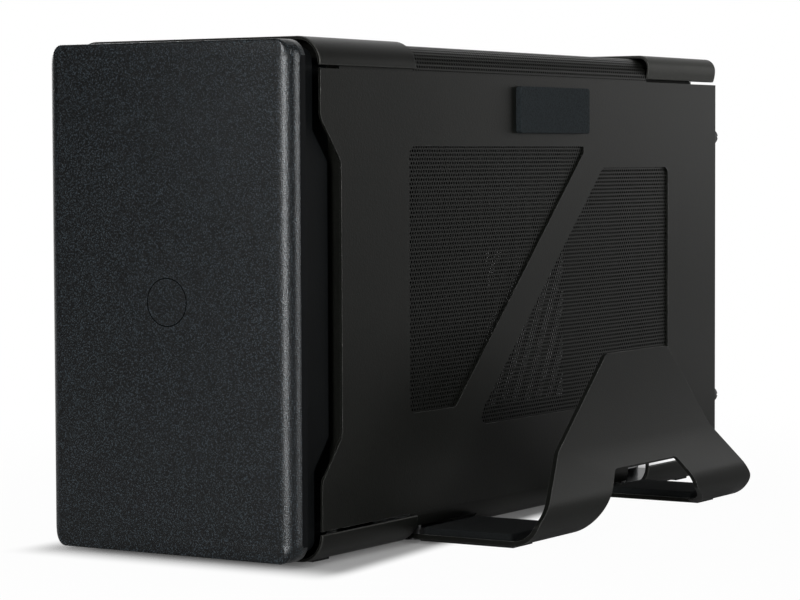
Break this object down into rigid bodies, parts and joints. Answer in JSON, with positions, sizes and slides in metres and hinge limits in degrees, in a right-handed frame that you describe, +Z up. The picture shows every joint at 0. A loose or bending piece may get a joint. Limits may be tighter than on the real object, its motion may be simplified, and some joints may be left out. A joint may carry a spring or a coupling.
{
  "type": "external graphics card enclosure",
  "caption": "Upright black steel case for a graphics card, with meshed windows, a moulded front, its own power supply and a bent sheet stand at the side for a closed laptop.",
  "frame": {"origin": "middle of the base of the whole object, on the floor", "axes": "+X towards the laptop stand, -Y towards the front cap, +Z up"},
  "size_m": [0.1844, 0.398, 0.2182],
  "materials": {
    "black_steel": "fine textured black powder coat",
    "mesh_steel": "black powder coat on perforated sheet",
    "cap_plastic": "coarse spark-eroded texture",
    "frame_plastic": "fine moulded texture",
    "pad_foam": "closed-cell foam",
    "foot_rubber": "matte rubber",
    "zinc_steel": "zinc-plated sheet",
    "black_screw": "black oxide",
    "bright_screw": "nickel plate",
    "fan_plastic": "moulded",
    "green_board": "solder mask",
    "black_board": "black solder mask",
    "card_black": "satin black",
    "fin_aluminium": "bare",
    "bracket_nickel": "nickel plate",
    "connector_plastic": "moulded",
    "supply_steel": "black powder coat",
    "grille_wire": "bright wire",
    "inlet_plastic": "moulded",
    "lead_sleeve": "braided sleeve"
  },
  "bodies": {
    "chassis": {"accessory_ports": "bracket_nickel", "board_power_lead": "lead_sleeve", "board_standoffs": "zinc_steel", "body_feet": "foot_rubber", "bottom_front_band": "black_steel", "bottom_pan": "black_steel", "bottom_rear_band": "black_steel", "bracket_screws": "bright_screw", "card_backplate": "card_black", "card_board": "black_board", "card_bracket": "bracket_nickel", "card_heatsink": "fin_aluminium", "card_power_lead": "lead_sleeve", "card_power_socket": "connector_plastic", "card_shroud": "card_black", "card_slot": "connector_plastic", "chassis_floor": "zinc_steel", "controller_heatsink": "fin_aluminium", "front_bulkhead": "zinc_steel", "front_cap": "cap_plastic", "front_frame": "frame_plastic", "front_stand_pad": "pad_foam", "host_port": "bracket_nickel", "intake_fan_frame": "fan_plastic", "intake_fan_screws": "bright_screw", "laptop_stand": "black_steel", "left_top_rail": "zinc_steel", "main_board": "green_board", "power_inlet": "inlet_plastic", "psu_board": "green_board", "psu_case": "supply_steel", "psu_fan_frame": "fan_plastic", "psu_fan_grille": "grille_wire", "psu_lid": "supply_steel", "psu_screws": "bright_screw", "rear_panel": "black_steel", "rear_stand_pad": "pad_foam", "right_top_rail": "zinc_steel", "stand_brackets": "zinc_steel", "stand_feet": "foot_rubber", "stand_screws": "black_screw", "switch_bezel": "inlet_plastic", "top_front_band": "black_steel", "top_mesh": "mesh_steel", "top_rear_band": "black_steel"},
    "right_panel": {"right_side_panel": "black_steel", "right_front_mesh": "mesh_steel", "right_rear_mesh": "mesh_steel", "side_pad": "pad_foam", "right_panel_screws": "black_screw"},
    "left_panel": {"left_side_panel": "black_steel", "left_front_mesh": "mesh_steel", "left_rear_mesh": "mesh_steel", "left_panel_screws": "black_screw"},
    "intake_fan": {"intake_fan_rotor": "fan_plastic"},
    "psu_fan": {"psu_fan_rotor": "fan_plastic"},
    "card_fan_a": {"card_front_fan": "fan_plastic"},
    "card_fan_b": {"card_rear_fan": "fan_plastic"},
    "rocker": {"power_switch": "inlet_plastic"}
  },
  "joints": [
    {"name": "right_panel_slide", "type": "slide", "parent": "chassis", "child": "right_panel", "axis": [0, 1, 0], "range_m": [0, 0.02]},
    {"name": "left_panel_slide", "type": "slide", "parent": "chassis", "child": "left_panel", "axis": [0, 1, 0], "range_m": [0, 0.02]},
    {"name": "intake_fan_spin", "type": "hinge", "parent": "chassis", "child": "intake_fan", "pos_m": [-0.02875, -0.1483, 0.1097], "axis": [0, 1, 0], "continuous": true},
    {"name": "psu_fan_spin", "type": "hinge", "parent": "chassis", "child": "psu_fan", "pos_m": [-0.07875, 0.1098, 0.1225], "axis": [1, 0, 0], "continuous": true},
    {"name": "card_front_fan_spin", "type": "hinge", "parent": "chassis", "child": "card_fan_a", "pos_m": [-0.01975, -0.055, 0.0875], "axis": [1, 0, 0], "continuous": true},
    {"name": "card_rear_fan_spin", "type": "hinge", "parent": "chassis", "child": "card_fan_b", "pos_m": [-0.01975, 0.029, 0.0875], "axis": [1, 0, 0], "continuous": true},
    {"name": "power_switch_tip", "type": "hinge", "parent": "chassis", "child": "rocker", "pos_m": [-0.0571, 0.1648, 0.112], "axis": [-1, 0, 0], "range_deg": [0, 16]}
  ]
}
